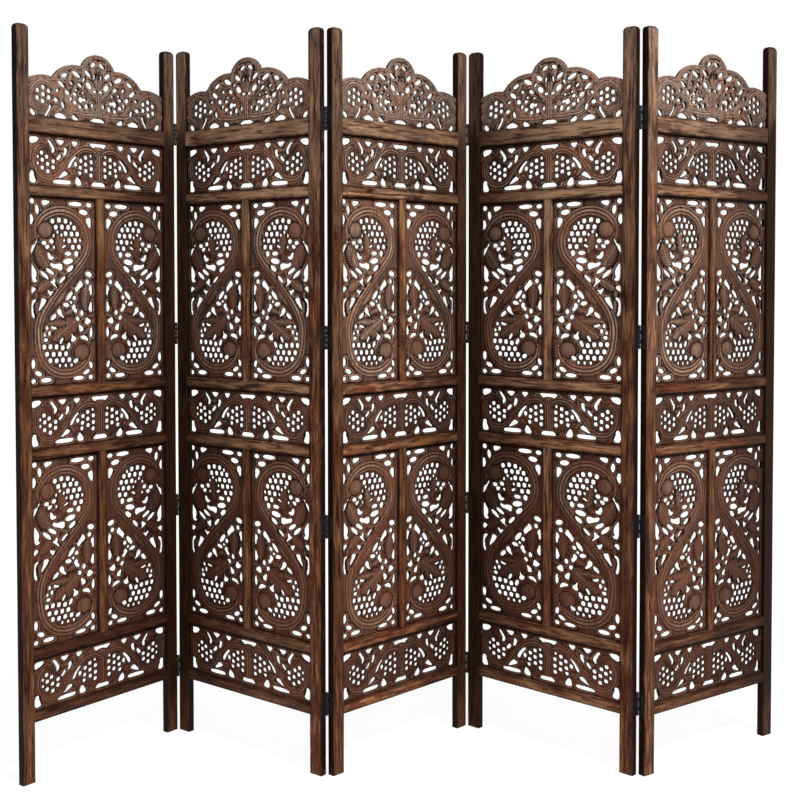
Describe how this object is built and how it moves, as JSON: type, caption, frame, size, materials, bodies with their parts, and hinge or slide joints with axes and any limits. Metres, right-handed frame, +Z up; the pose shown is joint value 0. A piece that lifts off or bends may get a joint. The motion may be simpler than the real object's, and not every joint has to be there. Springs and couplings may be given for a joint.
{
  "type": "folding screen",
  "caption": "Zig-zag folding room screen of pierced, scroll-carved wooden panels with lobed crests, on tall post feet, joined edge to edge by black butt hinges.",
  "frame": {"origin": "middle of the bounding box at the floor, under the standing zig-zag", "axes": "+X along the screen from its left end to its right end as seen from the front; +Y from the front to the back; +Z up"},
  "size_m": [1.9404, 0.4238, 1.83],
  "materials": {
    "carved_wood": "burnt brown stain, satin",
    "hinge_metal": "black, satin"
  },
  "bodies": {
    "panel_1": {"panel_1_left_stile": "carved_wood", "panel_1_right_stile": "carved_wood", "panel_1_rails": "carved_wood", "panel_1_muntins": "carved_wood", "panel_1_crest_board": "carved_wood", "panel_1_band_boards": "carved_wood", "panel_1_upper_scroll_boards": "carved_wood", "panel_1_lower_scroll_boards": "carved_wood", "hinge_1_2_left_leaves": "hinge_metal", "hinge_1_2_pins": "hinge_metal"},
    "panel_2": {"panel_2_left_stile": "carved_wood", "panel_2_right_stile": "carved_wood", "panel_2_rails": "carved_wood", "panel_2_muntins": "carved_wood", "panel_2_crest_board": "carved_wood", "panel_2_band_boards": "carved_wood", "panel_2_upper_scroll_boards": "carved_wood", "panel_2_lower_scroll_boards": "carved_wood", "hinge_1_2_right_leaves": "hinge_metal", "hinge_2_3_left_leaves": "hinge_metal", "hinge_2_3_pins": "hinge_metal"},
    "panel_3": {"panel_3_left_stile": "carved_wood", "panel_3_right_stile": "carved_wood", "panel_3_rails": "carved_wood", "panel_3_muntins": "carved_wood", "panel_3_crest_board": "carved_wood", "panel_3_band_boards": "carved_wood", "panel_3_upper_scroll_boards": "carved_wood", "panel_3_lower_scroll_boards": "carved_wood", "hinge_2_3_right_leaves": "hinge_metal", "hinge_3_4_left_leaves": "hinge_metal", "hinge_3_4_pins": "hinge_metal"},
    "panel_4": {"panel_4_left_stile": "carved_wood", "panel_4_right_stile": "carved_wood", "panel_4_rails": "carved_wood", "panel_4_muntins": "carved_wood", "panel_4_crest_board": "carved_wood", "panel_4_band_boards": "carved_wood", "panel_4_upper_scroll_boards": "carved_wood", "panel_4_lower_scroll_boards": "carved_wood", "hinge_3_4_right_leaves": "hinge_metal", "hinge_4_5_left_leaves": "hinge_metal", "hinge_4_5_pins": "hinge_metal"},
    "panel_5": {"panel_5_left_stile": "carved_wood", "panel_5_right_stile": "carved_wood", "panel_5_rails": "carved_wood", "panel_5_muntins": "carved_wood", "panel_5_crest_board": "carved_wood", "panel_5_band_boards": "carved_wood", "panel_5_upper_scroll_boards": "carved_wood", "panel_5_lower_scroll_boards": "carved_wood", "hinge_4_5_right_leaves": "hinge_metal"}
  },
  "joints": [
    {"name": "fold_2_3", "type": "hinge", "parent": "panel_3", "child": "panel_2", "pos_m": [-0.22376, -0.13989, 0], "axis": [0, 0, -1], "range_deg": [-85, 95]},
    {"name": "fold_1_2", "type": "hinge", "parent": "panel_2", "child": "panel_1", "pos_m": [-0.62582, 0.17649, 0], "axis": [0, 0, 1], "range_deg": [-91, 89]},
    {"name": "fold_3_4", "type": "hinge", "parent": "panel_3", "child": "panel_4", "pos_m": [0.16119, 0.1971, 0], "axis": [0, 0, -1], "range_deg": [-89, 91]},
    {"name": "fold_4_5", "type": "hinge", "parent": "panel_4", "child": "panel_5", "pos_m": [0.5402, -0.14656, 0], "axis": [0, 0, 1], "range_deg": [-80, 100]}
  ],
  "couplings": [
    {"joint": "fold_1_2", "follows": "fold_2_3", "ratio": 0.9368}
  ]
}
